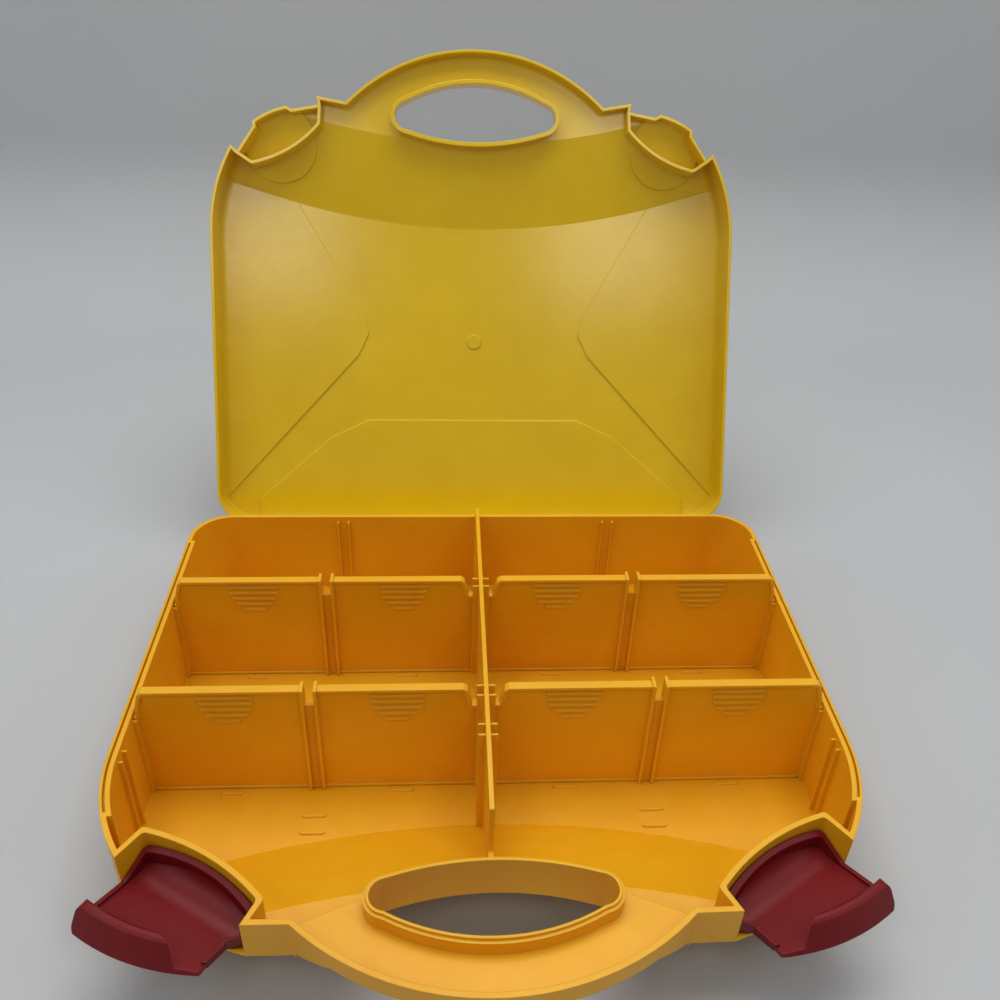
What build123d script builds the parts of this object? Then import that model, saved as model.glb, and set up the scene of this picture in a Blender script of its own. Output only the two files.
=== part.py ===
from build123d import *
import math
import os

os.makedirs("parts", exist_ok=True)

# The frame: millimetres, Z up, origin in the middle of the flat underside of the tray.
# A depth is measured forward from the outer edge of the back rim.
BACK_Y = 95.0
RIM_Z = 57.8

# Outline of the tray, its front corners placed by how far they lie in from the side of the rim
RIM_HALF = 175.0


def inward(distance, depth):
    """A plan point given by its distance in from the side of the rim and its depth."""
    return (RIM_HALF - distance, depth)


BACK_CORNER_R = 23.0
SIDE_END = 192.0
FRONT_CORNER_R = 90.0
FRONT_CORNER_ANGLE = 37.6
NOTCH_OUTER = inward(27.0, 234.3)
NOTCH_INNER = inward(79.9, 267.5)
NOTCH_SAG = 4.5
LEDGE_BULGE = 17.0
FRONT_TIP = inward(74.7, 278.4)
HANDLE_CENTRE = 190.9
HANDLE_R = 119.4
HANDLE_START = 81.0

# Walls and floors of the tray
WALL = 2.4
FLOOR_T = 2.0
BOTTOM_EDGE = 3.0
SIDE_LIP = 1.2
SIDE_GROOVE = 1.2
SIDE_RIDGE = 2.2
GROOVE_DEPTH = 3.0
LIP_FLANGE = 6.0
BAND_FROM = 27.0
BAND_TO = 226.0
GROOVE_END = 2.0

# How far a cut runs past a face, and how far an added form runs into what carries it
PAST = 1.0
ROOT = 0.5

# The underside rises towards the front from an arc across the floor
RAMP_FROM = 193.2
RAMP_R = 451.0
RAMP_RUN = 56.8
UNDER_Z = 36.5
RAMP_T = 2.2

# Lower half of the handle
OPENING_HALF = 50.8
OPENING_MID = 267.0
OPENING_BACK = 253.2
OPENING_FRONT = 286.7
OPENING_KNEE = 44.5
KNEE_BACK = 260.4
KNEE_FRONT = 274.9
COLLAR_T = 2.6
TONGUE_T = 1.2
TONGUE_H = 1.5
CHANNEL_DEPTH = 7.3
CHANNEL_T = 2.4
SHOULDER_IN = (56.0, 264.0)
SHOULDER_OUT = (78.5, 274.0)
SHOULDER_SIDE = 0.5
SHOULDER_FRONT = 4.0
GRIP_CUT_IN = 64.0
GRIP_CUT_OUT = 84.0

# Centre wall and the rib pairs that hold the dividers
CENTRE_T = 2.2
CENTRE_ABOVE = 13.0
CENTRE_RISE_END = 11.5
CENTRE_SLOPE_FROM = 200.0
CENTRE_END = 234.8
CENTRE_END_ABOVE = 10.4
CENTRE_DROP = 15.0
CENTRE_DROP_RUN = 2.5
SLOT_BACK = 82.0
SLOT_FRONT = 165.2
SLOT_SPARE = 190.3
RIB_T = 1.1
RIB_PITCH = 6.5
SIDE_RIB_PROUD = 2.2
SIDE_RIB_BELOW = 3.3
CENTRE_RIB_PROUD = 3.5
CENTRE_RIB_ABOVE = 11.2
BACK_RIB_X = 84.0
BUMP_L = 13.0
BUMP_W = 2.6
BUMP_H = 1.4
BUMP_END = 1.1
BUMP_OFF = 5.0
BUMP_DRAFT_ANGLE = 15.0
BUMP_XS = (42.6, 128.7)

# Loose dividers
DIVIDER_GAP = 0.3
WEB_T = 2.0
FLANGE_W = 4.6
FLANGE_H = 1.8
FOOT_W = 3.6
FOOT_H = 1.2
DIVIDER_ABOVE = 13.9
DIVIDER_INNER = 6.7
DIVIDER_LEAN = 2.8
DIVIDER_LEAN_H = 11.0
OUTER_SHOULDER = 1.3
OUTER_TAB_BELOW = 2.0
DIVIDER_CORNER = 1.6
POST_X = 85.7
POST_T = 1.6
POST_PITCH = 6.6
POST_W = 7.4
POST_ABOVE = 1.2
POST_NOTCH = 10.6
GRIP_XS = (43.2, 125.8)
GRIP_WIDTHS = (27.1, 26.1, 24.2, 20.3, 11.6)
GRIP_PITCH = 3.9
GRIP_FIRST = 4.6
GRIP_BAR_H = 1.6
GRIP_PROUD = 1.0

# Lid, drawn closed
LID_INSET = 2.4
LID_CORNER_R = 21.5
LID_H = 22.0
LID_T = 2.0
LID_WALL = 1.8
LID_TOP_EDGE = 3.0
LID_TIP = inward(17.0, 247.0)
LID_ARC_R = 110.9
LID_VALLEY = inward(21.1, 243.2)
LID_VEE = inward(30.5, 237.0)
LID_POCKET_END = inward(72.7, 261.5)
LID_POCKET_SAG = 4.0
LID_LEG = inward(73.4, 272.6)
LID_HORN = inward(72.5, 278.0)
LID_HORN_GAP = 18.5
LID_HANDLE_BACK = 0.9
BOSS_SHOULDER = inward(25.3, 249.3)
BOSS_OUT_A = inward(31.7, 258.8)
BOSS_OUT_B = inward(31.0, 261.7)
BOSS_IN_B = inward(53.1, 271.6)
BOSS_IN_A = inward(56.5, 269.6)
BOSS_BULGE = 1.3
BOSS_LEAD = 1.5
CELL_INSET = 0.1
LID_RAMP_FROM = 199.0
LID_RAMP_R = 466.0
LID_RAMP_SLOPE = 0.2245
LID_RAMP_DROP = 12.0
LID_COLLAR_T = 2.6
LID_RING_GAP = 0.5
SCOOP_U = -5.5
SCOOP_V = 2.5
SCOOP_R = 25.5
SCOOP_DEPTH = 1.5
PANEL_STEP = 0.8
FACET_SIDE = (
    (118, 214), (75.3, 141), (72, 128), (79, 113.5), (185, -0.7), (185, 232), (155, 225.3)
)
FACET_BACK = ((148, -5), (148, 14), (98, 57), (72, 69))
GATE_D = 123.0
GATE_R = 4.75
GATE_H = 0.6

# Hinge at the back
HINGE_BACK = 7.8
HINGE_BELOW = 26.5
LID_OPEN_ANGLE = 116.15
STRAP_X = 100.0
STRAP_W = 16.0
STRAP_T = 3.2
STRAP_OFF = 0.9
STRAP_TOP = 16.0
STRAP_LOW = 3.0
BARREL_R = 4.6
PIN_R = 2.2
PIN_GAP = 0.08
EAR_T = 5.0
EAR_R = 5.8
EAR_GAP = 0.4
EAR_FROM_ANGLE = -60.0
EAR_SWEEP_ANGLE = 150.0
EAR_FOOT = 16.0
STOP_GAP = 0.2

# Latches, drawn open in the frame of the notch: u along it, v outward, z from the rim
AXIS_V = 9.5
AXIS_Z = -5.6
HEEL_R = 14.3
SEAT_GAP = 0.35
LATCH_T = 2.2
PLATE_RISE_ANGLE = 11.3
LATCH_GAP = 0.7
LATCH_GAP_OUT = 0.3
LATCH_FLARE = 0.7
LATCH_NECK_V = 9.5
LATCH_NECK_OUT_V = 14.0
LATCH_SIDE_V = 15.0
FLANGE_T = 1.8
HEEL_TOP = -4.4
FLANGE_DIP = (15.0, -15.0)
FLANGE_OUT = (31.0, -12.0)
LIP_LEFT = -31.6
LIP_RIGHT = 25.5
LIP_LEFT_V = 42.1
LIP_MID_V = 39.6
LIP_RIGHT_V = 30.0
LIP_DEPTH = 10.6
LIP_TOP_DEPTH = 3.5
LIP_BOTTOM = -16.2
LIP_TOP = -4.5
LIP_FADE_FROM = (5.0, 29.6)
LIP_FADE_MID = (13.5, 32.4)
LIP_FADE_TO = (22.8, 35.4)
LIP_EDGE = 0.9
LIP_END_R = 4.0
LATCH_CORNER_R = 3.5
HOLLOW_CORNER_R = 1.6
POCKET_CORNER_R = 2.5
LATCH_BELOW = 30.0
POCKET_REACH = 45.0
POCKET_FLARE = 2.0
POCKET_FLARE_OUT = 0.6
POCKET_SIDE_V = 16.0


def at(x, depth):
    """A plan point from its distance off the centre plane and its depth from the back rim."""
    return (x, BACK_Y - depth)


def notch_mid(v):
    """The point straight out from the middle of the notch by v."""
    mid_x = (NOTCH_OUTER[0] + NOTCH_INNER[0]) / 2
    mid_d = (NOTCH_OUTER[1] + NOTCH_INNER[1]) / 2
    run_x = NOTCH_OUTER[0] - NOTCH_INNER[0]
    run_d = NOTCH_INNER[1] - NOTCH_OUTER[1]
    length = math.hypot(run_x, run_d)
    return (mid_x + v * run_d / length, mid_d + v * run_x / length)


def bulge(p, q, rise):
    """The middle of an arc from p to q that rises by rise, outward when positive."""
    run_x = p[0] - q[0]
    run_d = q[1] - p[1]
    length = math.hypot(run_x, run_d)
    mid = ((p[0] + q[0]) / 2, (p[1] + q[1]) / 2)
    return (mid[0] + rise * run_d / length, mid[1] + rise * run_x / length)


# The tray's outline, with its front corners whole or cut back to the latch pockets
def tray_face(notched):
    with BuildSketch() as face:
        with BuildLine():
            back = Line(at(0, 0), at(RIM_HALF - BACK_CORNER_R, 0))
            corner = JernArc(back @ 1, (1, 0), BACK_CORNER_R, -90)
            side = Line(corner @ 1, at(RIM_HALF, SIDE_END))
            turn = JernArc(side @ 1, (0, -1), FRONT_CORNER_R, -FRONT_CORNER_ANGLE)
            if notched:
                Line(turn @ 1, at(*NOTCH_OUTER))
                ThreePointArc(at(*NOTCH_OUTER), at(*notch_mid(-NOTCH_SAG)), at(*NOTCH_INNER))
                Line(at(*NOTCH_INNER), at(*FRONT_TIP))
            else:
                ThreePointArc(turn @ 1, at(*notch_mid(LEDGE_BULGE)), at(*FRONT_TIP))
            reach = math.degrees(math.asin(HANDLE_START / HANDLE_R))
            grip = CenterArc(at(0, HANDLE_CENTRE), HANDLE_R, -90, reach)
            Line(at(*FRONT_TIP), grip @ 1)
            mirror(about=Plane.YZ)
        make_face()
    return face.sketch


# The handle opening, grown by an amount
def opening_face(grow):
    with BuildSketch() as face:
        with BuildLine():
            ThreePointArc(
                at(-OPENING_KNEE, KNEE_BACK), at(0, OPENING_BACK), at(OPENING_KNEE, KNEE_BACK)
            )
            ThreePointArc(
                at(OPENING_KNEE, KNEE_BACK),
                at(OPENING_HALF, OPENING_MID),
                at(OPENING_KNEE, KNEE_FRONT),
            )
            ThreePointArc(
                at(OPENING_KNEE, KNEE_FRONT), at(0, OPENING_FRONT), at(-OPENING_KNEE, KNEE_FRONT)
            )
            ThreePointArc(
                at(-OPENING_KNEE, KNEE_FRONT),
                at(-OPENING_HALF, OPENING_MID),
                at(-OPENING_KNEE, KNEE_BACK),
            )
        make_face()
        if grow:
            offset(amount=grow, mode=Mode.REPLACE)
    return face.sketch


# The handle's share of the plan, in front of the shoulders
def handle_zone(forward):
    front = HANDLE_CENTRE + HANDLE_R + WALL + PAST
    right = [
        at(SHOULDER_IN[0], SHOULDER_IN[1] + forward),
        at(SHOULDER_OUT[0], SHOULDER_OUT[1] + forward),
        at(HANDLE_START - SHOULDER_SIDE, FRONT_TIP[1] + SHOULDER_FRONT),
        at(HANDLE_START - SHOULDER_SIDE, front),
    ]
    left = [(-x, y) for x, y in reversed(right)]
    with BuildSketch() as face:
        with BuildLine():
            Polyline(*right, *left, close=True)
        make_face()
    return face.sketch


NOTCH_PLANE = Plane(
    origin=(*at(*notch_mid(0)), RIM_Z),
    x_dir=(NOTCH_INNER[0] - NOTCH_OUTER[0], NOTCH_OUTER[1] - NOTCH_INNER[1], 0),
    z_dir=(0, 0, 1),
)
NOTCH_HALF = math.hypot(NOTCH_OUTER[0] - NOTCH_INNER[0], NOTCH_INNER[1] - NOTCH_OUTER[1]) / 2

# The side band between the inner face of the ridge and the plain wall
with BuildSketch() as side_band:
    with Locations(at(0, (BAND_FROM + BAND_TO) / 2)):
        Rectangle(2 * RIM_HALF, BAND_TO - BAND_FROM)
    with BuildSketch(mode=Mode.SUBTRACT):
        add(tray_face(True))
        offset(amount=-(SIDE_LIP + SIDE_GROOVE + SIDE_RIDGE), mode=Mode.REPLACE)

# The hollow of the tray
RAMP_AXIS = RAMP_FROM + RAMP_R
RAMP_SLOPE = UNDER_Z / RAMP_RUN
RAMP_LIFT = RAMP_T * math.hypot(1, RAMP_SLOPE)
FRONT_FLOOR_Z = UNDER_Z + RAMP_T
with BuildPart() as cavity:
    with BuildSketch(Plane.XY.offset(FLOOR_T)):
        add(tray_face(True))
        offset(amount=-WALL, mode=Mode.REPLACE)
        add(side_band.sketch, mode=Mode.SUBTRACT)
        add(handle_zone(0), mode=Mode.SUBTRACT)
        add(opening_face(COLLAR_T), mode=Mode.SUBTRACT)
    extrude(amount=RIM_Z)
    with Locations((0, BACK_Y - RAMP_AXIS, FLOOR_T)):
        Cone(
            RAMP_R - (FLOOR_T - RAMP_LIFT) / RAMP_SLOPE,
            RAMP_R - (FRONT_FLOOR_Z - RAMP_LIFT) / RAMP_SLOPE,
            FRONT_FLOOR_Z - FLOOR_T,
            align=(Align.CENTER, Align.CENTER, Align.MIN),
            mode=Mode.SUBTRACT,
        )

# The room that a latch turns in, in the notch's frame
SEAT_R = HEEL_R + SEAT_GAP
RISE = math.radians(PLATE_RISE_ANGLE)
with BuildPart() as latch_pocket:
    with BuildSketch(Plane.YZ.offset(-NOTCH_HALF - 2 * POCKET_FLARE)):
        with BuildLine():
            seat = CenterArc((AXIS_V, AXIS_Z), SEAT_R, 180, 90 + PLATE_RISE_ANGLE)
            run = AXIS_V + POCKET_REACH - (seat @ 1).X
            end = seat @ 1 + Vector(run, run * math.tan(RISE))
            Polyline(seat @ 1, end, (end.X, PAST), (AXIS_V - SEAT_R, PAST), seat @ 0)
        make_face()
    extrude(amount=2 * NOTCH_HALF + 4 * POCKET_FLARE)
    with BuildSketch(Plane.XY.offset(-LATCH_BELOW)):
        with BuildLine():
            ThreePointArc((-NOTCH_HALF, 0), (0, -NOTCH_SAG), (NOTCH_HALF, 0))
            out_u = NOTCH_HALF + POCKET_FLARE
            Polyline(
                (NOTCH_HALF, 0),
                (out_u, POCKET_SIDE_V),
                (out_u, POCKET_REACH),
                (-out_u, POCKET_REACH),
                (-NOTCH_HALF - POCKET_FLARE_OUT, POCKET_SIDE_V),
                (-NOTCH_HALF, 0),
            )
        make_face()
        fillet(vertices().sort_by(Axis.Y)[:2], radius=POCKET_CORNER_R)
    extrude(amount=LATCH_BELOW + PAST, mode=Mode.INTERSECT)

# The hollow under the handle, shallower towards the latches
with BuildPart() as grip_hollow:
    with BuildSketch(Plane.XY.offset(-PAST)):
        add(handle_zone(WALL))
        add(opening_face(COLLAR_T), mode=Mode.SUBTRACT)
    extrude(amount=RIM_Z)
    with BuildSketch(Plane.XZ.offset(-BACK_Y)):
        with BuildLine():
            roof = RIM_Z - CHANNEL_DEPTH - CHANNEL_T
            Polyline(
                (-GRIP_CUT_OUT, -PAST),
                (-GRIP_CUT_OUT, UNDER_Z),
                (-GRIP_CUT_IN, roof),
                (GRIP_CUT_IN, roof),
                (GRIP_CUT_OUT, UNDER_Z),
                (GRIP_CUT_OUT, -PAST),
                close=True,
            )
        make_face()
    extrude(amount=RIM_HALF * 2 + BACK_Y, mode=Mode.INTERSECT)

# One side's ribs, bumps and hinge ears, copied to the other side below
SLOTS = (SLOT_BACK, SLOT_FRONT, SLOT_SPARE)
INNER_HALF = RIM_HALF - SIDE_LIP - SIDE_GROOVE - SIDE_RIDGE
SIDE_RIB_H = RIM_Z - SIDE_RIB_BELOW - FLOOR_T
CENTRE_RIB_H = RIM_Z + CENTRE_RIB_ABOVE - FLOOR_T
HINGE = (0, BACK_Y + HINGE_BACK, RIM_Z - HINGE_BELOW)
EAR_X = STRAP_W / 2 + EAR_GAP + EAR_T / 2
with BuildPart() as side_details:
    for slot in SLOTS:
        for shift in (-RIB_PITCH / 2, RIB_PITCH / 2):
            with Locations((INNER_HALF + ROOT, BACK_Y - slot + shift, FLOOR_T)):
                Box(
                    SIDE_RIB_PROUD + ROOT,
                    RIB_T,
                    SIDE_RIB_H,
                    align=(Align.MAX, Align.CENTER, Align.MIN),
                )
            with Locations((CENTRE_T / 2 - ROOT, BACK_Y - slot + shift, FLOOR_T)):
                Box(
                    CENTRE_RIB_PROUD + ROOT,
                    RIB_T,
                    CENTRE_RIB_H,
                    align=(Align.MIN, Align.CENTER, Align.MIN),
                )
        for shift in (-BUMP_OFF, BUMP_OFF):
            for x in (POST_X,) if slot == SLOT_SPARE else BUMP_XS:
                with BuildSketch(Plane.XY.offset(FLOOR_T - ROOT)):
                    with Locations((x, BACK_Y - slot + shift)):
                        Rectangle(BUMP_L, BUMP_W)
                        chamfer(vertices(), length=BUMP_END)
                extrude(amount=BUMP_H + ROOT, taper=BUMP_DRAFT_ANGLE)
    for shift in (-RIB_PITCH / 2, RIB_PITCH / 2):
        with Locations((BACK_RIB_X + shift, BACK_Y - WALL + ROOT, FLOOR_T)):
            Box(
                RIB_T,
                SIDE_RIB_PROUD + ROOT,
                SIDE_RIB_H,
                align=(Align.CENTER, Align.MAX, Align.MIN),
            )
    for x in (STRAP_X - EAR_X, STRAP_X + EAR_X):
        with BuildSketch(Plane.YZ.offset(x - EAR_T / 2)):
            with BuildLine():
                knuckle = CenterArc(HINGE[1:], EAR_R, EAR_FROM_ANGLE, EAR_SWEEP_ANGLE)
                Polyline(
                    knuckle @ 1,
                    (BACK_Y - ROOT, (knuckle @ 1).Y),
                    (BACK_Y - ROOT, HINGE[2] - EAR_FOOT),
                    knuckle @ 0,
                )
            make_face()
            with Locations(HINGE[1:]):
                Circle(PIN_R + PIN_GAP, mode=Mode.SUBTRACT)
        extrude(amount=EAR_T)

# The tray
with BuildPart() as base_tray:
    with BuildSketch():
        add(tray_face(False))
    extrude(amount=RIM_Z)
    with Locations((0, BACK_Y - RAMP_AXIS, 0)):
        Cone(
            RAMP_R,
            RAMP_R - RAMP_RUN,
            UNDER_Z,
            align=(Align.CENTER, Align.CENTER, Align.MIN),
            mode=Mode.SUBTRACT,
        )
    chamfer(base_tray.faces().sort_by(Axis.Z)[0].edges(), length=BOTTOM_EDGE)
    add(cavity.part, mode=Mode.SUBTRACT)
    # side walls: thin panel under the rim flange, and the groove in the rim
    with BuildSketch(Plane.XY.offset(-PAST)):
        with Locations(at(0, (BAND_FROM + BAND_TO) / 2)):
            Rectangle(2 * (RIM_HALF + PAST), BAND_TO - BAND_FROM - 2 * GROOVE_END)
        with BuildSketch(mode=Mode.SUBTRACT):
            add(tray_face(True))
            offset(amount=-(SIDE_LIP + SIDE_GROOVE), mode=Mode.REPLACE)
    extrude(amount=RIM_Z - LIP_FLANGE + PAST, mode=Mode.SUBTRACT)
    with BuildSketch(Plane.XY.offset(RIM_Z - GROOVE_DEPTH)):
        with Locations(at(0, (BAND_FROM + BAND_TO) / 2)):
            Rectangle(2 * RIM_HALF, BAND_TO - BAND_FROM - 2 * GROOVE_END)
        with BuildSketch(mode=Mode.INTERSECT):
            add(tray_face(True))
            offset(amount=-SIDE_LIP, mode=Mode.REPLACE)
        with BuildSketch(mode=Mode.SUBTRACT):
            add(tray_face(True))
            offset(amount=-(SIDE_LIP + SIDE_GROOVE), mode=Mode.REPLACE)
    extrude(amount=GROOVE_DEPTH, mode=Mode.SUBTRACT)
    # latch pockets
    with Locations(NOTCH_PLANE.location):
        add(latch_pocket.part, mode=Mode.SUBTRACT)
    mirror(latch_pocket.part.moved(NOTCH_PLANE.location), about=Plane.YZ, mode=Mode.SUBTRACT)
    # the handle: channel above, grip hollow below, opening with its tongue
    with BuildSketch(Plane.XY.offset(RIM_Z - CHANNEL_DEPTH)):
        add(tray_face(True))
        offset(amount=-WALL, mode=Mode.REPLACE)
        add(handle_zone(0), mode=Mode.INTERSECT)
        add(opening_face(COLLAR_T), mode=Mode.SUBTRACT)
    extrude(amount=CHANNEL_DEPTH, mode=Mode.SUBTRACT)
    add(grip_hollow.part, mode=Mode.SUBTRACT)
    with BuildSketch(Plane.XY.offset(RIM_Z)):
        add(opening_face(TONGUE_T))
    extrude(amount=TONGUE_H)
    with BuildSketch():
        add(opening_face(0))
    extrude(amount=RIM_Z + TONGUE_H, mode=Mode.SUBTRACT)
    # centre wall
    with BuildSketch(Plane.YZ.offset(-CENTRE_T / 2)):
        with BuildLine():
            wall_front = OPENING_BACK - COLLAR_T + ROOT
            Polyline(
                at(RIM_Z, WALL - ROOT)[::-1],
                at(RIM_Z, WALL)[::-1],
                at(RIM_Z + CENTRE_ABOVE, CENTRE_RISE_END)[::-1],
                at(RIM_Z + CENTRE_ABOVE, CENTRE_SLOPE_FROM)[::-1],
                at(RIM_Z + CENTRE_END_ABOVE, CENTRE_END)[::-1],
                at(RIM_Z - CENTRE_DROP, CENTRE_END + CENTRE_DROP_RUN)[::-1],
                at(RIM_Z - CENTRE_DROP, wall_front)[::-1],
                at(FRONT_FLOOR_Z - ROOT, wall_front)[::-1],
                at(FLOOR_T - ROOT, RAMP_AXIS - RAMP_R)[::-1],
                at(FLOOR_T - ROOT, WALL - ROOT)[::-1],
                close=True,
            )
        make_face()
    extrude(amount=CENTRE_T)
    add(side_details.part)
    mirror(side_details.part, about=Plane.YZ)
base_tray.part.label = "base_tray"
export_step(base_tray.part, "parts/base_tray.step")


LID_HALF = RIM_HALF - LID_INSET
LID_HANDLE_START = LID_HORN[0] - LID_HORN_GAP


# The lid's outline, with its front corners filled out to the catch bosses or cut back to the pockets
def lid_face(filled):
    with BuildSketch() as face:
        with BuildLine():
            back = Line(at(0, 0), at(LID_HALF - LID_CORNER_R, 0))
            corner = JernArc(back @ 1, (1, 0), LID_CORNER_R, -90)
            side = Line(corner @ 1, at(LID_HALF, SIDE_END))
            reach = math.degrees(math.asin((LID_TIP[1] - SIDE_END) / LID_ARC_R))
            turn = JernArc(side @ 1, (0, -1), LID_ARC_R, -reach)
            Line(turn @ 1, at(*LID_VALLEY))
            if filled:
                Polyline(at(*LID_VALLEY), at(*BOSS_SHOULDER), at(*BOSS_OUT_A), at(*BOSS_OUT_B))
                ThreePointArc(
                    at(*BOSS_OUT_B), at(*bulge(BOSS_OUT_B, BOSS_IN_B, BOSS_BULGE)), at(*BOSS_IN_B)
                )
                Polyline(at(*BOSS_IN_B), at(*BOSS_IN_A), at(*LID_LEG), at(*LID_HORN))
            else:
                Line(at(*LID_VALLEY), at(*LID_VEE))
                ThreePointArc(
                    at(*LID_VEE),
                    at(*bulge(LID_VEE, LID_POCKET_END, -LID_POCKET_SAG)),
                    at(*LID_POCKET_END),
                )
                Polyline(at(*LID_POCKET_END), at(*LID_LEG), at(*LID_HORN))
            reach = math.degrees(math.asin(LID_HANDLE_START / HANDLE_R))
            grip = CenterArc(at(0, HANDLE_CENTRE - LID_HANDLE_BACK), HANDLE_R, -90, reach)
            Line(at(*LID_HORN), grip @ 1)
            mirror(about=Plane.YZ)
        make_face()
    return face.sketch


# Everything above the lid's sloping front when that starts at a height
def above_ramp(start):
    with BuildPart() as room:
        with BuildSketch(Plane.XZ):
            with BuildLine():
                low = start - LID_RAMP_DROP
                Polyline(
                    (0, low),
                    (LID_RAMP_R - LID_RAMP_DROP / LID_RAMP_SLOPE, low),
                    (LID_RAMP_R, start),
                    (LID_RAMP_R, LID_H + PAST),
                    (0, LID_H + PAST),
                    close=True,
                )
            make_face()
        revolve(axis=Axis.Z)
    return room.part.moved(Location((0, BACK_Y - LID_RAMP_FROM - LID_RAMP_R, RIM_Z)))


# The shallow facets of the lid's panel
def facet_faces():
    back = [at(*p) for p in FACET_BACK] + [at(-x, depth) for x, depth in reversed(FACET_BACK)]
    with BuildSketch() as face:
        with BuildLine():
            Polyline(*[at(*p) for p in FACET_SIDE], close=True)
        make_face()
        mirror(about=Plane.YZ)
        with BuildLine():
            Polyline(*back, close=True)
        make_face()
    return face.sketch


# The round scoop that each latch's hook drops into
def scoop(shrink, lower):
    with BuildPart() as room:
        with BuildSketch(NOTCH_PLANE.offset(-PAST)):
            with Locations((SCOOP_U, SCOOP_V)):
                Circle(SCOOP_R - shrink)
        extrude(amount=LID_H + 2 * PAST)
        add(above_ramp(lower), mode=Mode.INTERSECT)
        mirror(about=Plane.YZ)
    return room.part


LID_IN = LID_H - LID_T
TO_RIM = Plane.XY.offset(RIM_Z)
STRAP_Y = BACK_Y + STRAP_OFF
RING_OUT = LID_RING_GAP + TONGUE_T + LID_COLLAR_T
with BuildPart() as lid_hollow:
    with BuildSketch(TO_RIM):
        add(lid_face(True))
        offset(amount=-LID_WALL, mode=Mode.REPLACE)
        with BuildSketch(mode=Mode.SUBTRACT):
            add(lid_face(True))
            add(lid_face(False), mode=Mode.SUBTRACT)
            offset(amount=LID_WALL, mode=Mode.REPLACE)
        with BuildSketch():
            add(lid_face(True))
            add(lid_face(False), mode=Mode.SUBTRACT)
            offset(amount=-CELL_INSET, mode=Mode.REPLACE)
            with BuildSketch(mode=Mode.INTERSECT):
                add(lid_face(True))
                offset(amount=-LID_WALL, mode=Mode.REPLACE)
        add(opening_face(RING_OUT), mode=Mode.SUBTRACT)
    extrude(amount=LID_IN)
    add(above_ramp(LID_IN), mode=Mode.SUBTRACT)
    add(scoop(LID_T, LID_IN - SCOOP_DEPTH), mode=Mode.SUBTRACT)
    with BuildSketch(Plane.XY.offset(RIM_Z + LID_IN - PANEL_STEP)):
        add(facet_faces())
    extrude(amount=PANEL_STEP, mode=Mode.SUBTRACT)

with BuildPart() as closed_lid:
    with BuildSketch(TO_RIM):
        add(lid_face(True))
    extrude(amount=LID_H)
    top_edges = closed_lid.faces().sort_by(Axis.Z)[-1].edges()
    chamfer(top_edges.filter_by(lambda e: e.center().Y > BACK_Y - SIDE_END), length=LID_TOP_EDGE)
    add(above_ramp(LID_H), mode=Mode.SUBTRACT)
    add(scoop(0, LID_H - SCOOP_DEPTH), mode=Mode.SUBTRACT)
    with BuildSketch(Plane.XY.offset(RIM_Z + LID_H - PANEL_STEP)):
        add(facet_faces())
    extrude(amount=PANEL_STEP, mode=Mode.SUBTRACT)
    add(lid_hollow.part, mode=Mode.SUBTRACT)
    with BuildSketch(TO_RIM):
        add(opening_face(LID_RING_GAP + TONGUE_T))
    extrude(amount=LID_H, mode=Mode.SUBTRACT)
    with Locations((0, BACK_Y - GATE_D, RIM_Z + LID_IN - GATE_H)):
        Cylinder(GATE_R, GATE_H + ROOT, align=(Align.CENTER, Align.CENTER, Align.MIN))
    # lead-in along each boss, over which the latch's hook rides
    boss_mid = bulge(BOSS_OUT_B, BOSS_IN_B, BOSS_BULGE)
    for x, y in (at(*boss_mid), at(-boss_mid[0], boss_mid[1])):
        tops = closed_lid.edges().filter_by(lambda e: e.center().Z > RIM_Z + ROOT)
        chamfer(tops.sort_by_distance((x, y, RIM_Z + LID_H - LID_RAMP_DROP))[0], length=BOSS_LEAD)
    # hinge straps, each with its barrel, pins and stop
    for x in (-STRAP_X, STRAP_X):
        with BuildSketch(Plane.YZ.offset(x - STRAP_W / 2)):
            with BuildLine():
                Polyline(
                    (BACK_Y - ROOT, RIM_Z + STRAP_LOW),
                    (STRAP_Y, RIM_Z + STRAP_LOW),
                    (STRAP_Y, HINGE[2]),
                    (HINGE[1], HINGE[2]),
                    (STRAP_Y + STRAP_T, HINGE[2] + BARREL_R),
                    (STRAP_Y + STRAP_T, RIM_Z + STRAP_TOP - STRAP_T),
                    (BACK_Y - ROOT, RIM_Z + STRAP_TOP),
                    close=True,
                )
            make_face()
        extrude(amount=STRAP_W)
        with Locations(Location((x, HINGE[1], HINGE[2]), (0, 90, 0))):
            Cylinder(BARREL_R, STRAP_W)
            Cylinder(PIN_R, STRAP_W + 2 * (EAR_GAP + EAR_T))
        with Locations(Location((x, HINGE[1], HINGE[2]), (LID_OPEN_ANGLE, 0, 0))):
            Box(
                STRAP_W,
                HINGE_BACK - STOP_GAP,
                STRAP_T,
                align=(Align.CENTER, Align.MAX, Align.CENTER),
            )

# The lid stands open against its stops, as it is exported
TO_HINGE = Location(HINGE)
OPENED = TO_HINGE * Location((0, 0, 0), (-LID_OPEN_ANGLE, 0, 0)) * TO_HINGE.inverse()
with BuildPart() as lid:
    with Locations(OPENED):
        add(closed_lid.part)
lid.part.label = "lid"
export_step(lid.part, "parts/lid.step")

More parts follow.
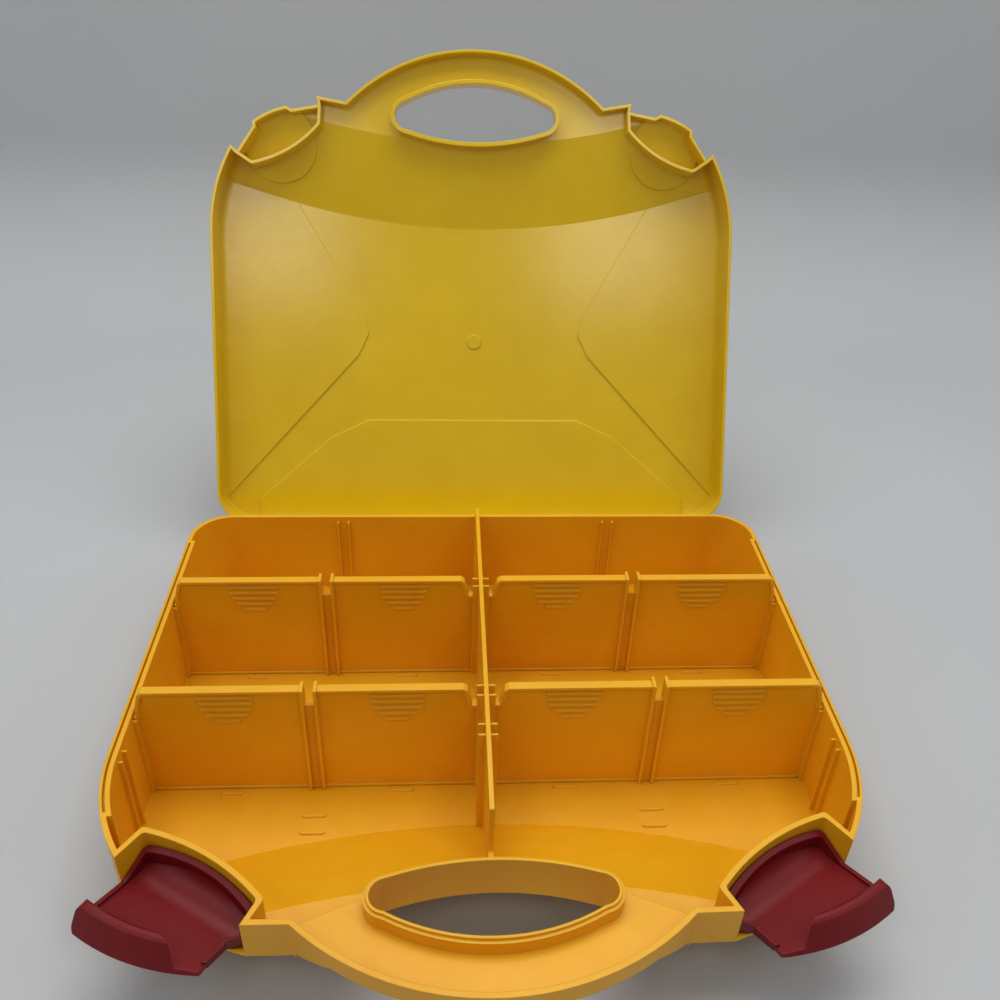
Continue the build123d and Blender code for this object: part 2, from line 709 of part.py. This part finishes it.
# The hollow of a latch, in the notch's frame
with BuildPart() as latch_hollow:
    with BuildSketch(Plane.YZ.offset(-NOTCH_HALF)):
        with BuildLine():
            inner = CenterArc((AXIS_V, AXIS_Z), HEEL_R - LATCH_T, 180, 90 + PLATE_RISE_ANGLE)
            run = POCKET_REACH - (inner @ 1).X
            far_end = inner @ 1 + Vector(run, run * math.tan(RISE))
            Polyline(inner @ 1, far_end, (far_end.X, 0), ((inner @ 0).X, 0), inner @ 0)
        make_face()
    extrude(amount=2 * NOTCH_HALF)
    with BuildSketch(Plane.XY.offset(-LATCH_BELOW)):
        with BuildLine():
            u = NOTCH_HALF - LATCH_GAP - FLANGE_T
            left = -NOTCH_HALF + LATCH_GAP_OUT + FLANGE_T
            right = LIP_RIGHT - FLANGE_T
            v = LATCH_GAP + LATCH_T
            back_in = ThreePointArc((-u, v), (0, v - NOTCH_SAG), (u, v))
            Polyline(
                back_in @ 1,
                (u + LATCH_FLARE, LATCH_NECK_V),
                (right, LATCH_NECK_OUT_V),
                (right, POCKET_REACH),
                (left, POCKET_REACH),
                (left, LATCH_SIDE_V),
                back_in @ 0,
            )
        make_face()
        fillet(vertices().sort_by(Axis.Y)[:2], radius=HOLLOW_CORNER_R)
    extrude(amount=LATCH_BELOW + PAST, mode=Mode.INTERSECT)

# The hooked lip of a latch: its front leans back, and it runs out towards the handle
with BuildPart() as latch_lip:
    for level, depth in ((LIP_BOTTOM, LIP_DEPTH), (LIP_TOP, LIP_TOP_DEPTH)):
        with BuildSketch(Plane.XY.offset(level)):
            with BuildLine():
                back = [
                    (LIP_LEFT, LIP_LEFT_V - LIP_DEPTH),
                    (0, LIP_MID_V - LIP_DEPTH),
                    (LIP_RIGHT, LIP_RIGHT_V - LIP_DEPTH),
                ]
                front = [(p[0], p[1] + depth) for p in reversed(back)]
                ThreePointArc(*back)
                Line(back[2], front[0])
                ThreePointArc(*front)
                Line(front[2], back[0])
            make_face()
    loft(ruled=True)
    # edges broken along the top and along the foot of the front, and the outer end rounded
    broken = latch_lip.faces().sort_by(Axis.Z)[-1].edges()
    foot = latch_lip.faces().sort_by(Axis.Z)[0].edges().filter_by(GeomType.CIRCLE)
    broken += foot.sort_by(Axis.Y)[-1:]
    chamfer(broken, length=LIP_EDGE)
    with BuildSketch(Plane.XZ):
        with Locations((LIP_LEFT, LIP_BOTTOM)):
            Rectangle(
                LIP_RIGHT - LIP_LEFT + PAST,
                LIP_TOP - LIP_BOTTOM,
                align=(Align.MIN, Align.MIN),
            )
        fillet(vertices().sort_by(Axis.X)[:2], radius=LIP_END_R)
    extrude(amount=-POCKET_REACH, mode=Mode.INTERSECT)
    # towards the handle it fades into the plate
    plate_top = AXIS_Z - (HEEL_R - LATCH_T) / math.cos(RISE) - AXIS_V * math.tan(RISE)
    plate = Plane(
        origin=(0, 0, plate_top),
        x_dir=(1, 0, 0),
        z_dir=(0, -math.sin(RISE), math.cos(RISE)),
    )
    with BuildSketch(plate):
        with BuildLine():
            ThreePointArc(LIP_FADE_FROM, LIP_FADE_MID, LIP_FADE_TO)
            Polyline(
                LIP_FADE_TO,
                (LIP_FADE_TO[0], POCKET_REACH),
                (LIP_RIGHT + PAST, POCKET_REACH),
                (LIP_RIGHT + PAST, 0),
                (LIP_FADE_FROM[0], 0),
                LIP_FADE_FROM,
            )
        make_face()
    extrude(amount=-LIP_BOTTOM, mode=Mode.SUBTRACT)

# A latch, in the notch's frame
with BuildPart() as latch_shape:
    # outer form: round heel, straight plate, low side flanges
    with BuildSketch(Plane.YZ.offset(-NOTCH_HALF - PAST)):
        with BuildLine():
            start = 180 + math.degrees(math.asin((AXIS_Z - HEEL_TOP) / HEEL_R))
            heel = CenterArc((AXIS_V, AXIS_Z), HEEL_R, start, 270 + PLATE_RISE_ANGLE - start)
            run = LIP_LEFT_V - (heel @ 1).X
            plate_end = heel @ 1 + Vector(run, run * math.tan(RISE))
            flange_end = (plate_end.X, FLANGE_OUT[1])
            Polyline(heel @ 1, plate_end, flange_end, FLANGE_OUT, FLANGE_DIP, heel @ 0)
        make_face()
    extrude(amount=2 * (NOTCH_HALF + PAST))
    with BuildSketch(Plane.XY.offset(-LATCH_BELOW)):
        with BuildLine():
            u = NOTCH_HALF - LATCH_GAP
            left = -NOTCH_HALF + LATCH_GAP_OUT
            back_arc = ThreePointArc((-u, LATCH_GAP), (0, LATCH_GAP - NOTCH_SAG), (u, LATCH_GAP))
            inset = LIP_DEPTH / 2
            Polyline(
                back_arc @ 1,
                (u + LATCH_FLARE, LATCH_NECK_V),
                (LIP_RIGHT, LATCH_NECK_OUT_V),
                (LIP_RIGHT, LIP_RIGHT_V - inset),
            )
            ThreePointArc(
                (LIP_RIGHT, LIP_RIGHT_V - inset), (0, LIP_MID_V - inset), (left, LIP_LEFT_V - inset)
            )
            Polyline((left, LIP_LEFT_V - inset), (left, LATCH_SIDE_V), back_arc @ 0)
        make_face()
        fillet(vertices().sort_by(Axis.Y)[:2], radius=LATCH_CORNER_R)
    extrude(amount=LATCH_BELOW, mode=Mode.INTERSECT)
    # hollow: rounded into the back wall, between the flanges
    add(latch_hollow.part, mode=Mode.SUBTRACT)
    add(latch_lip.part)

with BuildPart() as latch_right:
    with Locations(NOTCH_PLANE.location):
        add(latch_shape.part)
latch_right.part.label = "latch_right"
export_step(latch_right.part, "parts/latch_right.step")

with BuildPart() as latch_left:
    mirror(latch_right.part, about=Plane.YZ)
latch_left.part.label = "latch_left"
export_step(latch_left.part, "parts/latch_left.step")

# A loose divider of the right side, centred on its slot
FOOT_Z = FLOOR_T + DIVIDER_GAP
DIVIDER_TOP = RIM_Z + DIVIDER_ABOVE
TAB_OUT = INNER_HALF - DIVIDER_GAP
TAB_IN = CENTRE_T / 2 + DIVIDER_GAP
OUTER_END = TAB_OUT - OUTER_SHOULDER
LEAN_Z = DIVIDER_TOP - DIVIDER_LEAN_H
OUTER_TAB_TOP = RIM_Z - OUTER_TAB_BELOW
with BuildSketch() as divider_outline:
    with BuildLine():
        Polyline(
            (TAB_IN, FOOT_Z),
            (TAB_OUT, FOOT_Z),
            (TAB_OUT, OUTER_TAB_TOP),
            (OUTER_END, OUTER_TAB_TOP),
            (OUTER_END, LEAN_Z),
            (OUTER_END - DIVIDER_LEAN, DIVIDER_TOP),
            (DIVIDER_INNER + DIVIDER_LEAN, DIVIDER_TOP),
            (DIVIDER_INNER, LEAN_Z),
            (TAB_IN, LEAN_Z),
            close=True,
        )
    make_face()
    chamfer(divider_outline.vertices().group_by(Axis.Y)[-1], length=DIVIDER_CORNER)
with BuildPart() as divider:
    with BuildSketch(Plane.XZ.offset(-WEB_T / 2)):
        add(divider_outline.sketch)
    extrude(amount=WEB_T)
    # flange along the top and down the ends, as thick ends that fill the slots
    with BuildSketch(Plane.XZ.offset(-FLANGE_W / 2)):
        add(divider_outline.sketch)
        with BuildSketch(mode=Mode.SUBTRACT):
            add(divider_outline.sketch)
            offset(amount=-FLANGE_H, mode=Mode.REPLACE)
        with Locations((0, FOOT_Z - PAST)):
            Rectangle(
                RIM_HALF,
                PAST + FLANGE_H,
                align=(Align.MIN, Align.MIN),
                mode=Mode.SUBTRACT,
            )
    extrude(amount=FLANGE_W)
    # foot flange
    with Locations((TAB_IN, 0, FOOT_Z)):
        Box(TAB_OUT - TAB_IN, FOOT_W, FOOT_H, align=(Align.MIN, Align.CENTER, Align.MIN))
    # middle post with its own slot
    for shift in (-POST_PITCH / 2, POST_PITCH / 2):
        with Locations((POST_X + shift, 0, FOOT_Z)):
            Box(
                POST_T,
                POST_W,
                DIVIDER_TOP + POST_ABOVE - FOOT_Z,
                align=(Align.CENTER, Align.CENTER, Align.MIN),
            )
    with Locations((POST_X, 0, DIVIDER_TOP - POST_NOTCH)):
        Box(
            POST_PITCH - POST_T,
            FLANGE_W,
            POST_NOTCH,
            align=(Align.CENTER, Align.CENTER, Align.MIN),
            mode=Mode.SUBTRACT,
        )
    # thumb grips
    for x in GRIP_XS:
        for row, width in enumerate(GRIP_WIDTHS):
            with Locations((x, -WEB_T / 2, DIVIDER_TOP - GRIP_FIRST - GRIP_PITCH * row)):
                Box(width, 2 * GRIP_PROUD, GRIP_BAR_H)

for row, slot in (("back", SLOT_BACK), ("front", SLOT_FRONT)):
    with BuildPart() as placed:
        with Locations((0, BACK_Y - slot, 0)):
            add(divider.part)
    placed.part.label = f"divider_{row}_right"
    export_step(placed.part, f"parts/divider_{row}_right.step")
    with BuildPart() as mirrored:
        mirror(placed.part, about=Plane.YZ)
    mirrored.part.label = f"divider_{row}_left"
    export_step(mirrored.part, f"parts/divider_{row}_left.step")
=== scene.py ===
import math

import bpy
from mathutils import Matrix, Vector

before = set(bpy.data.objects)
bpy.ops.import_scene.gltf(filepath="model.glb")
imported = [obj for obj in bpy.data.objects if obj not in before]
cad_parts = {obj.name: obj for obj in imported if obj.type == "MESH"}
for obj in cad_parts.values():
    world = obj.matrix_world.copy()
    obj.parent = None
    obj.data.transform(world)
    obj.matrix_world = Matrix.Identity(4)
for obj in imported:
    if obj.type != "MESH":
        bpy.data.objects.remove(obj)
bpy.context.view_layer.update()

# Camera, fitted to the photograph: place in metres, turns in radians, lens in millimetres
CAMERA_AT = (-0.02041, -0.4044, 0.40683)
YAW = 0.07476
PITCH = 0.58255
ROLL = -0.04104
LENS = 34.358
SENSOR_WIDTH = 36.0
SHIFT = (-0.00388, -0.01045)
NEAR_CLIP = 0.01
FAR_CLIP = 20.0

# Floor and backdrop, in metres
WALL_Y = 0.62
WALL_TOP = 2.6
BEND_R = 0.16
BEND_STEPS = 10
GROUND_HALF = 2.6
GROUND_FRONT = -3.0
GROUND_BACK = 4.0
GROUND_DARK = (0.44, 0.455, 0.475, 1)
GROUND_PALE = (0.50, 0.515, 0.535, 1)

# Window lamps: distance from the middle, place, aim, size and power
WINDOW_X = 0.30
WINDOW_SHIFT = -0.02
WINDOW_Y, WINDOW_Z = -0.66, 0.86
WINDOW_AIM_X = 0.13
WINDOW_AIM_Y, WINDOW_AIM_Z = 0.2, 0.21
WINDOW_SIZE = (0.22, 0.34)
WINDOW_POWER = 0.9
WINDOW_COLOUR = (1.0, 0.99, 0.95)

# Plain light of the room
ROOM_COLOUR = (0.93, 0.96, 1.0, 1)
ROOM_STRENGTH = 0.20

# Surface of the plastic: radii and heights in metres, noise scales per metre
ARRIS_R = 0.0007
SKIN_HEIGHT = 0.00008
WAVE_HEIGHT = 0.0006
CLOUD_SCALE = 9.0
FLOW_SCALE = 45.0
SCUFF_SCALE = 260.0
SKIN_SCALE = 1400.0
STREAK_SCALE = (900.0, 26.0, 60.0)
STREAK_TURN = (0.2, 0.4, 0.9)
PLASTIC_IOR = 1.49
SCATTER_R = (0.006, 0.0035, 0.0008)


def make_camera():
    """The camera, turned by yaw, pitch and roll."""
    forward = Vector((math.sin(YAW) * math.cos(PITCH), math.cos(YAW) * math.cos(PITCH), -math.sin(PITCH)))
    level = Vector((math.cos(YAW), -math.sin(YAW), 0))
    down = forward.cross(level)
    right = math.cos(ROLL) * level + math.sin(ROLL) * down
    up = math.sin(ROLL) * level - math.cos(ROLL) * down
    turn = Matrix((right, up, -forward)).transposed()
    data = bpy.data.cameras.new("camera")
    data.lens = LENS
    data.sensor_width = SENSOR_WIDTH
    data.shift_x, data.shift_y = SHIFT
    data.clip_start = NEAR_CLIP
    data.clip_end = FAR_CLIP
    cam = bpy.data.objects.new("camera", data)
    cam.matrix_world = Matrix.Translation(CAMERA_AT) @ turn.to_4x4()
    bpy.context.scene.collection.objects.link(cam)
    bpy.context.scene.camera = cam


def area_light(name, place, aim, size, power, colour):
    """A rectangular lamp at a place, facing its aim."""
    data = bpy.data.lights.new(name, "AREA")
    data.shape = "RECTANGLE"
    data.size, data.size_y = size
    data.energy = power
    data.color = colour
    lamp = bpy.data.objects.new(name, data)
    lamp.location = place
    lamp.rotation_mode = "QUATERNION"
    lamp.rotation_quaternion = (Vector(aim) - Vector(place)).to_track_quat("-Z", "Y")
    bpy.context.scene.collection.objects.link(lamp)


class Nodes:
    """A small helper to build a material's node tree."""

    def __init__(self, name):
        self.material = bpy.data.materials.new(name)
        self.material.use_nodes = True
        self.tree = self.material.node_tree
        self.shader = self.tree.nodes["Principled BSDF"]

    def add(self, kind, settings=(), **sockets):
        """Add a node with its settings, and set or link its inputs by name."""
        node = self.tree.nodes.new(kind)
        for key, value in dict(settings).items():
            setattr(node, key, value)
        for key, value in sockets.items():
            self.put(node, key.replace("_", " "), value)
        return node

    def put(self, node, socket, value):
        """Link a socket to an input, or set the input to a value."""
        target = node.inputs[socket] if isinstance(socket, str) else node.inputs[int(socket)]
        if isinstance(value, bpy.types.NodeSocket):
            self.tree.links.new(value, target)
        else:
            target.default_value = value

    def mix(self, fraction, a, b):
        """Blend two colours."""
        node = self.tree.nodes.new("ShaderNodeMix")
        node.data_type = "RGBA"
        node.clamp_factor = True
        for index, value in ((0, fraction), (6, a), (7, b)):
            self.put(node, index, value)
        return node.outputs[2]

    def ramp(self, value, low, high, out_low=0.0, out_high=1.0):
        """Map a value from one range to another."""
        node = self.tree.nodes.new("ShaderNodeMapRange")
        for index, number in enumerate((value, low, high, out_low, out_high)):
            self.put(node, index, number)
        return node.outputs[0]


def moulded_plastic(name, main, shade, lit, roughness, shine, coat, grain, inside):
    """Moulded plastic: faint flow variation, a fine skin, painted highlights along the edges, short
    scratches, soft arrises.
    """
    n = Nodes(name)
    place = n.add("ShaderNodeTexCoord").outputs["Object"]
    cloud = n.add("ShaderNodeTexNoise", Vector=place, Scale=CLOUD_SCALE, Detail=3.0, Roughness=0.5)
    skin = n.add("ShaderNodeTexNoise", Vector=place, Scale=SKIN_SCALE, Detail=2.0, Roughness=0.6)
    flow = n.add("ShaderNodeTexNoise", Vector=place, Scale=FLOW_SCALE, Detail=4.0, Roughness=0.55,
                 Distortion=0.6)
    scuff = n.add("ShaderNodeTexNoise", Vector=place, Scale=SCUFF_SCALE, Detail=5.0, Roughness=0.7)
    stretch = n.add("ShaderNodeMapping", Vector=place)
    stretch.inputs["Rotation"].default_value = STREAK_TURN
    stretch.inputs["Scale"].default_value = STREAK_SCALE
    streak = n.add("ShaderNodeTexNoise", Vector=stretch.outputs[0], Scale=1.0, Detail=1.5, Roughness=0.4)
    arris = n.add("ShaderNodeBevel", {"samples": 6}, Radius=ARRIS_R)
    geometry = n.add("ShaderNodeNewGeometry")
    edge = n.add("ShaderNodeVectorMath", {"operation": "DOT_PRODUCT"})
    n.put(edge, 0, arris.outputs[0])
    n.put(edge, 1, geometry.outputs["True Normal"])
    painted_edge_highlight = n.ramp(edge.outputs["Value"], 0.995, 0.86)

    tone = n.mix(n.ramp(cloud.outputs["Fac"], 0.35, 0.68), shade, main)
    tone = n.mix(n.ramp(flow.outputs["Fac"], 0.42, 0.75, 0.0, 0.22), tone, lit)
    # Painted highlight: the colour is lightened towards the lit copy along the arrises
    tone = n.mix(n.ramp(painted_edge_highlight, 0.0, 1.0, 0.0, 0.55), tone, lit)
    scratches = n.ramp(streak.outputs["Fac"], 0.70, 0.78, 0.0, 0.16)
    tone = n.mix(scratches, tone, lit)
    n.put(n.shader, "Base Color", tone)

    rough = n.ramp(scuff.outputs["Fac"], 0.3, 0.75, roughness - 0.04, roughness + 0.10)
    n.put(n.shader, "Roughness", rough)
    n.put(n.shader, "IOR", PLASTIC_IOR)
    n.put(n.shader, "Specular IOR Level", shine)
    n.put(n.shader, "Coat Weight", coat)
    n.put(n.shader, "Coat Roughness", 0.18)
    n.put(n.shader, "Subsurface Weight", inside)
    n.put(n.shader, "Subsurface Radius", SCATTER_R)
    n.put(n.shader, "Subsurface Scale", 1.0)
    fine = n.add("ShaderNodeBump", Strength=grain, Distance=SKIN_HEIGHT, Height=skin.outputs["Fac"])
    n.put(fine, "Normal", arris.outputs[0])
    wave = n.add("ShaderNodeBump", Strength=0.10, Distance=WAVE_HEIGHT, Height=cloud.outputs["Fac"])
    n.put(wave, "Normal", fine.outputs[0])
    n.put(n.shader, "Normal", wave.outputs[0])
    return n.material


def dress(node, material):
    """Put a material into every slot of a solid."""
    for part_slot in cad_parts[node].material_slots:
        part_slot.material = material


TRAY = moulded_plastic(
    "tray_plastic_look",
    main=(0.80, 0.405, 0.005, 1), shade=(0.75, 0.36, 0.004, 1), lit=(0.90, 0.50, 0.03, 1),
    roughness=0.40, shine=0.40, coat=0.03, grain=0.25, inside=0.12,
)
LID = moulded_plastic(
    "lid_plastic_look",
    main=(0.74, 0.50, 0.004, 1), shade=(0.68, 0.45, 0.003, 1), lit=(0.84, 0.60, 0.02, 1),
    roughness=0.20, shine=0.5, coat=0.25, grain=0.12, inside=0.10,
)
LATCH = moulded_plastic(
    "latch_plastic_look",
    main=(0.160, 0.004, 0.006, 1), shade=(0.132, 0.003, 0.005, 1), lit=(0.22, 0.010, 0.012, 1),
    roughness=0.37, shine=0.26, coat=0.0, grain=0.35, inside=0.0,
)

dress("base_tray", TRAY)
dress("lid", LID)
for side in ("right", "left"):
    dress("latch_" + side, LATCH)
    for row in ("back", "front"):
        dress(f"divider_{row}_{side}", TRAY)


def ground_material():
    """Plain pale paper, clear when seen from behind."""
    n = Nodes("ground_look")
    place = n.add("ShaderNodeTexCoord").outputs["Object"]
    paper = n.add("ShaderNodeTexNoise", Vector=place, Scale=3.0, Detail=4.0, Roughness=0.5)
    n.put(n.shader, "Base Color", n.mix(paper.outputs["Fac"], GROUND_DARK, GROUND_PALE))
    n.put(n.shader, "Roughness", 0.7)
    behind = n.add("ShaderNodeNewGeometry").outputs["Backfacing"]
    clear = n.add("ShaderNodeBsdfTransparent")
    either = n.add("ShaderNodeMixShader")
    n.put(either, 0, behind)
    n.put(either, 1, n.shader.outputs[0])
    n.put(either, 2, clear.outputs[0])
    n.put(n.tree.nodes["Material Output"], "Surface", either.outputs[0])
    return n.material


def make_ground():
    """A floor that curves up into a wall, with a flat floor beyond it."""
    bend_y = WALL_Y - BEND_R
    line = [(GROUND_FRONT, 0.0), (bend_y, 0.0)]
    for i in range(1, BEND_STEPS + 1):
        a = math.pi / 2 * i / BEND_STEPS
        line.append((bend_y + BEND_R * math.sin(a), BEND_R - BEND_R * math.cos(a)))
    line.append((WALL_Y, WALL_TOP))
    sides = (-GROUND_HALF, GROUND_HALF)
    points = [(x, y, z) for y, z in line for x in sides]
    faces = [(2 * i, 2 * i + 1, 2 * i + 3, 2 * i + 2) for i in range(len(line) - 1)]
    first = len(points)
    points += [(x, y, 0.0) for y in (bend_y, GROUND_BACK) for x in sides]
    faces.append((first, first + 1, first + 3, first + 2))
    mesh = bpy.data.meshes.new("ground")
    mesh.from_pydata(points, [], faces)
    for face in mesh.polygons:
        face.use_smooth = True
    ground = bpy.data.objects.new("ground", mesh)
    mesh.materials.append(ground_material())
    bpy.context.scene.collection.objects.link(ground)


make_ground()
make_camera()
area_light("softbox_top", place=(0.0, 0.22, 1.6), aim=(0, -0.05, 0), size=(1.6, 0.9),
           power=18.4, colour=(1.0, 0.98, 0.95))
area_light("softbox_left", place=(-1.3, -0.5, 1.0), aim=(0, 0.0, 0.05), size=(0.9, 0.9),
           power=3.5, colour=(0.96, 0.98, 1.0))
area_light("softbox_right", place=(1.3, -0.3, 1.1), aim=(0, 0.05, 0.05), size=(0.9, 0.9),
           power=3.0, colour=(1.0, 0.98, 0.96))
for side in (-1, 1):
    area_light(f"window_{side + 1}", place=(WINDOW_X * side + WINDOW_SHIFT, WINDOW_Y, WINDOW_Z),
               aim=(WINDOW_AIM_X * side, WINDOW_AIM_Y, WINDOW_AIM_Z), size=WINDOW_SIZE,
               power=WINDOW_POWER, colour=WINDOW_COLOUR)
world = bpy.data.worlds.new("room")
world.use_nodes = True
background = world.node_tree.nodes["Background"]
background.inputs["Color"].default_value = ROOM_COLOUR
background.inputs["Strength"].default_value = ROOM_STRENGTH
bpy.context.scene.world = world
bpy.context.scene.view_settings.view_transform = "Standard"
